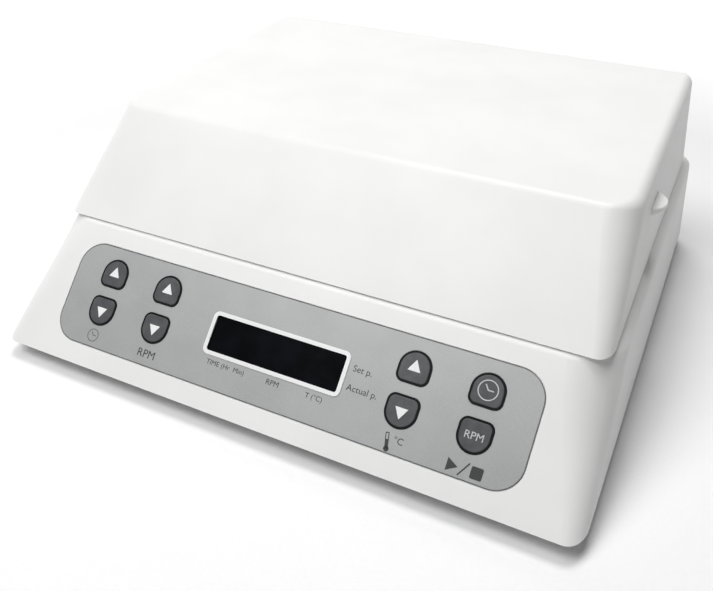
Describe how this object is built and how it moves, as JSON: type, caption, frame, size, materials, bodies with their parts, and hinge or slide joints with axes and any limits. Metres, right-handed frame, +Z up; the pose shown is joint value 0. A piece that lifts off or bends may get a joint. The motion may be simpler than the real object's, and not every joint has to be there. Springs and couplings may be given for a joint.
{
  "type": "incubating microplate shaker",
  "caption": "Low bench shaker-incubator: sloped key panel with display, hinged heated lid, and an orbiting platform that holds two microplates.",
  "frame": {"origin": "middle of the footprint, at the undersides of the feet", "axes": "+Z up, -Y towards the user, where the key panel is, +X to the user's right"},
  "size_m": [0.27, 0.261, 0.1018],
  "materials": {
    "white_housing": "moulded, fine satin texture",
    "white_trim": "smooth moulded",
    "grey_fascia": "screen-printed polyester film, satin",
    "grey_panel": "fine powder coat",
    "key_grey": "moulded, satin",
    "display_glass": "polished dark acrylic window",
    "black_plastic": "moulded",
    "rocker_black": "moulded, gloss",
    "foot_rubber": "moulded rubber",
    "seal_silicone": "extruded silicone",
    "zinc_steel": "zinc plated",
    "bearing_steel": "ground steel",
    "chamber_steel": "fine brushed stainless",
    "platform_aluminium": "bead-blasted, clear anodised",
    "heater_plate": "brushed",
    "cast_aluminium": "machined",
    "heater_foil": "silicone heating mat",
    "board_green": "solder-masked laminate",
    "winding_copper": "enamelled copper on laminations",
    "bronze": "sintered bronze"
  },
  "bodies": {
    "root": {"base_shell": "white_housing", "bottom_plate": "zinc_steel", "rubber_feet": "foot_rubber", "foot_screws": "zinc_steel", "bottom_screws": "zinc_steel", "panel_overlay": "grey_fascia", "display_frame": "white_trim", "display_window": "display_glass", "display_module": "black_plastic", "control_board": "board_green", "board_screws": "zinc_steel", "key_switches": "black_plastic", "chamber_tray": "chamber_steel", "lid_seal": "seal_silicone", "drive_deck": "cast_aluminium", "bearing_housing": "cast_aluminium", "shaft_bearings": "bearing_steel", "motor_stator": "winding_copper", "idler_bushes": "bronze", "supply_board": "board_green", "rear_panel": "grey_panel", "rear_screws": "zinc_steel", "power_inlet": "black_plastic", "fuse_holder": "black_plastic", "fuse_cap": "black_plastic", "rocker_housing": "black_plastic", "hinge_pins": "bearing_steel", "temperature_probe": "bearing_steel"},
    "lid": {"lid_shell": "white_housing", "lid_liner": "white_trim", "lid_heater_mat": "heater_foil", "lid_heater_plate": "heater_plate", "lid_screws": "zinc_steel"},
    "drive": {"eccentric_shaft": "bearing_steel", "counterweight": "bearing_steel", "motor_rotor": "zinc_steel"},
    "platform": {"platform": "platform_aluminium", "plate_stops": "platform_aluminium", "nest_mats": "seal_silicone", "platform_heaters": "heater_foil", "platform_bearing": "bearing_steel", "platform_bushes": "bronze", "clamp_screws": "zinc_steel"},
    "clamp_left": {"clamp_left": "black_plastic"},
    "clamp_right": {"clamp_right": "black_plastic"},
    "idler_front_left": {"idler_front_left": "bearing_steel"},
    "idler_front_right": {"idler_front_right": "bearing_steel"},
    "idler_rear_left": {"idler_rear_left": "bearing_steel"},
    "idler_rear_right": {"idler_rear_right": "bearing_steel"},
    "key_time_up": {"key_time_up": "key_grey"},
    "key_time_down": {"key_time_down": "key_grey"},
    "key_speed_up": {"key_speed_up": "key_grey"},
    "key_speed_down": {"key_speed_down": "key_grey"},
    "key_heat_up": {"key_heat_up": "key_grey"},
    "key_heat_down": {"key_heat_down": "key_grey"},
    "key_timer": {"key_timer": "key_grey"},
    "key_run": {"key_run": "key_grey"},
    "power_rocker": {"power_rocker": "rocker_black"}
  },
  "joints": [
    {"name": "lid_hinge", "type": "hinge", "parent": "root", "child": "lid", "pos_m": [0, 0.12207, 0.0583], "axis": [-1, 0, 0], "range_deg": [0, 85]},
    {"name": "drive_spin", "type": "hinge", "parent": "root", "child": "drive", "pos_m": [0, 0.02, 0.028], "axis": [0, 0, 1], "continuous": true},
    {"name": "platform_orbit", "type": "hinge", "parent": "drive", "child": "platform", "pos_m": [0.001, 0.02, 0.048], "axis": [0, 0, 1], "continuous": true},
    {"name": "idler_front_left_spin", "type": "hinge", "parent": "root", "child": "idler_front_left", "pos_m": [-0.092, -0.04, 0.038], "axis": [0, 0, 1], "continuous": true},
    {"name": "idler_front_right_spin", "type": "hinge", "parent": "root", "child": "idler_front_right", "pos_m": [0.092, -0.04, 0.038], "axis": [0, 0, 1], "continuous": true},
    {"name": "idler_rear_left_spin", "type": "hinge", "parent": "root", "child": "idler_rear_left", "pos_m": [-0.092, 0.08, 0.038], "axis": [0, 0, 1], "continuous": true},
    {"name": "idler_rear_right_spin", "type": "hinge", "parent": "root", "child": "idler_rear_right", "pos_m": [0.092, 0.08, 0.038], "axis": [0, 0, 1], "continuous": true},
    {"name": "clamp_left_slide", "type": "slide", "parent": "platform", "child": "clamp_left", "axis": [-1, 0, 0], "range_m": [0, 0.004], "stiffness_N_per_m": 400, "springref_m": -0.003},
    {"name": "clamp_right_slide", "type": "slide", "parent": "platform", "child": "clamp_right", "axis": [1, 0, 0], "range_m": [0, 0.004], "stiffness_N_per_m": 400, "springref_m": -0.003},
    {"name": "key_time_up_press", "type": "slide", "parent": "root", "child": "key_time_up", "axis": [0, 0.7133, -0.7009], "range_m": [0, 0.0008], "stiffness_N_per_m": 500, "springref_m": -0.0005},
    {"name": "key_time_down_press", "type": "slide", "parent": "root", "child": "key_time_down", "axis": [0, 0.7133, -0.7009], "range_m": [0, 0.0008], "stiffness_N_per_m": 500, "springref_m": -0.0005},
    {"name": "key_speed_up_press", "type": "slide", "parent": "root", "child": "key_speed_up", "axis": [0, 0.7133, -0.7009], "range_m": [0, 0.0008], "stiffness_N_per_m": 500, "springref_m": -0.0005},
    {"name": "key_speed_down_press", "type": "slide", "parent": "root", "child": "key_speed_down", "axis": [0, 0.7133, -0.7009], "range_m": [0, 0.0008], "stiffness_N_per_m": 500, "springref_m": -0.0005},
    {"name": "key_heat_up_press", "type": "slide", "parent": "root", "child": "key_heat_up", "axis": [0, 0.7133, -0.7009], "range_m": [0, 0.0008], "stiffness_N_per_m": 500, "springref_m": -0.0005},
    {"name": "key_heat_down_press", "type": "slide", "parent": "root", "child": "key_heat_down", "axis": [0, 0.7133, -0.7009], "range_m": [0, 0.0008], "stiffness_N_per_m": 500, "springref_m": -0.0005},
    {"name": "key_timer_press", "type": "slide", "parent": "root", "child": "key_timer", "axis": [0, 0.7133, -0.7009], "range_m": [0, 0.0008], "stiffness_N_per_m": 500, "springref_m": -0.0005},
    {"name": "key_run_press", "type": "slide", "parent": "root", "child": "key_run", "axis": [0, 0.7133, -0.7009], "range_m": [0, 0.0008], "stiffness_N_per_m": 500, "springref_m": -0.0005},
    {"name": "power_rocker_tilt", "type": "hinge", "parent": "root", "child": "power_rocker", "pos_m": [0.024, 0.12452, 0.02955], "axis": [-1, 0, 0], "range_deg": [-18, 0]}
  ],
  "couplings": [
    {"joint": "platform_orbit", "follows": "drive_spin", "ratio": -1},
    {"joint": "idler_front_left_spin", "follows": "drive_spin", "ratio": 1},
    {"joint": "idler_front_right_spin", "follows": "drive_spin", "ratio": 1},
    {"joint": "idler_rear_left_spin", "follows": "drive_spin", "ratio": 1},
    {"joint": "idler_rear_right_spin", "follows": "drive_spin", "ratio": 1}
  ]
}
